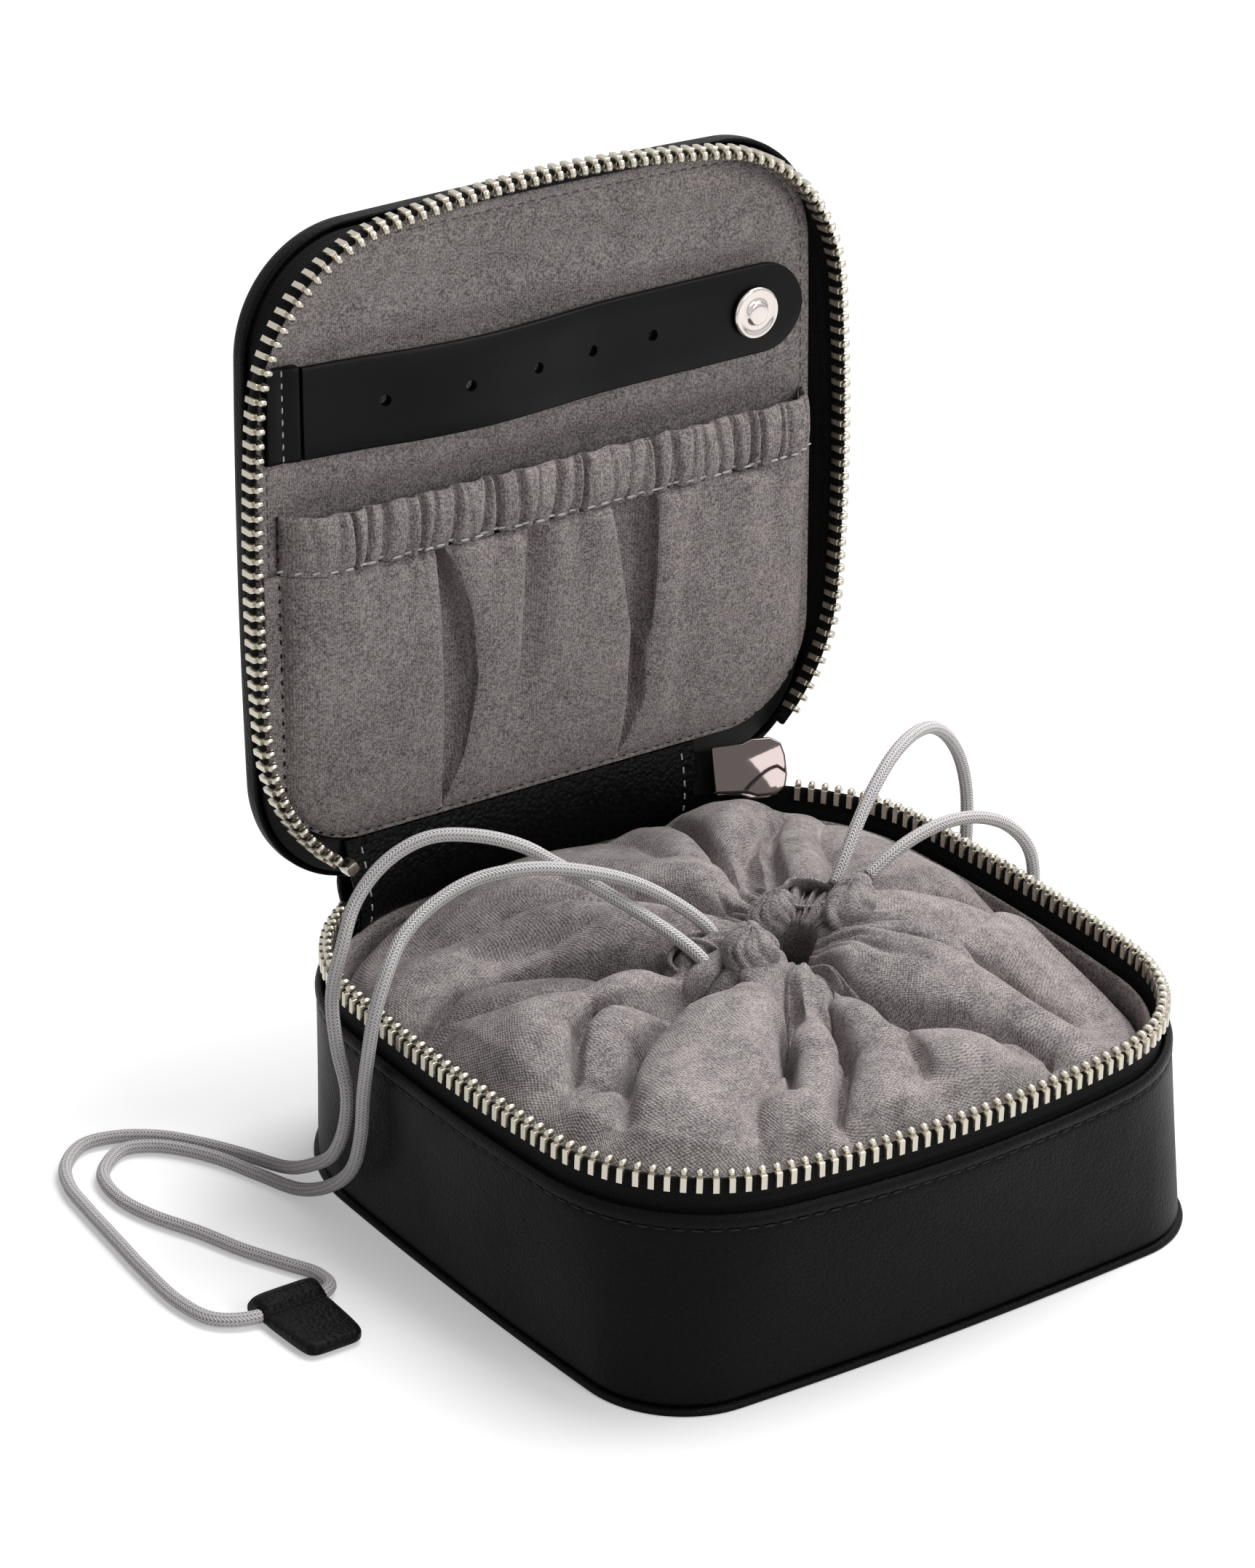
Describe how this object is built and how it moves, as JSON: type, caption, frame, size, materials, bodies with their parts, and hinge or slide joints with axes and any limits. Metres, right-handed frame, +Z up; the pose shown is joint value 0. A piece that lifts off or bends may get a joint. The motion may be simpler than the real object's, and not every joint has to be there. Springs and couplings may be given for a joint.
{
  "type": "jewelry case",
  "caption": "Square leather jewelry case standing open, zip around the rim, with an earring strap and gathered pockets in the lid and a drawstring pouch in the base.",
  "frame": {"origin": "centre of the underside of the base, on the surface the case stands on", "axes": "+Z up, +X along the hinge to the right seen from the front, +Y towards the hinge, -Y to the front"},
  "size_m": [0.204, 0.1422, 0.1697],
  "materials": {
    "leather": "fine pebbled black leather, satin",
    "smooth_leather": "smooth black leather, satin",
    "suede": "grey brushed microfibre suede, matt",
    "pouch_cloth": "soft grey brushed knit, matt",
    "tape": "black woven zipper tape",
    "nickel": "polished warm nickel",
    "cord": "braided light grey polyester cord",
    "board": "black fibreboard stiffener",
    "padding": "thin black foam padding"
  },
  "bodies": {
    "base": {"base_sole": "leather", "base_shell": "leather", "base_board": "board", "base_wall_board": "board", "base_lining": "suede", "base_zipper_tape": "tape", "base_zipper_chain": "nickel", "base_zipper_stop": "nickel", "spine_outer": "leather", "spine_inner": "smooth_leather", "drawstring_pouch": "pouch_cloth", "cord_left_back": "cord", "cord_left_front": "cord", "cord_left_tab": "leather", "cord_right_back": "cord", "cord_right_front": "cord", "cord_right_tab": "leather"},
    "lid": {"lid_shell": "leather", "lid_backing": "board", "lid_padding": "padding", "lid_lining": "suede", "lid_zipper_tape": "tape", "lid_zipper_chain": "nickel", "lid_zipper_stop": "nickel", "pocket_panel": "suede", "pocket_casing": "suede", "strap_anchor": "smooth_leather", "snap_stud": "nickel"},
    "strap": {"earring_strap": "smooth_leather", "snap_cap": "nickel", "snap_socket": "nickel"},
    "slider": {"slider_body": "nickel"},
    "pull": {"zip_pull": "nickel"}
  },
  "joints": [
    {"name": "lid_hinge", "type": "hinge", "parent": "base", "child": "lid", "pos_m": [0, 0.0576, 0.048], "axis": [1, 0, 0], "range_deg": [-8, 92.6], "deforming": ["spine_outer", "spine_inner", "drawstring_pouch", "cord_left_back", "cord_left_front", "cord_right_back", "cord_right_front"]},
    {"name": "slider_turn", "type": "hinge", "parent": "base", "child": "slider", "pos_m": [0, 0.0576, 0.048], "axis": [1, 0, 0], "range_deg": [-4, 46.3]},
    {"name": "pull_swing", "type": "hinge", "parent": "slider", "child": "pull", "pos_m": [0.042, 0.0573, 0.0427], "axis": [1, 0, 0], "range_deg": [-6, 10]},
    {"name": "strap_hinge", "type": "hinge", "parent": "lid", "child": "strap", "pos_m": [-0.05135, 0.05955, 0.135], "axis": [0, -0.0454, -0.999], "range_deg": [0, 22]}
  ],
  "couplings": [
    {"joint": "slider_turn", "follows": "lid_hinge", "ratio": 0.5}
  ]
}
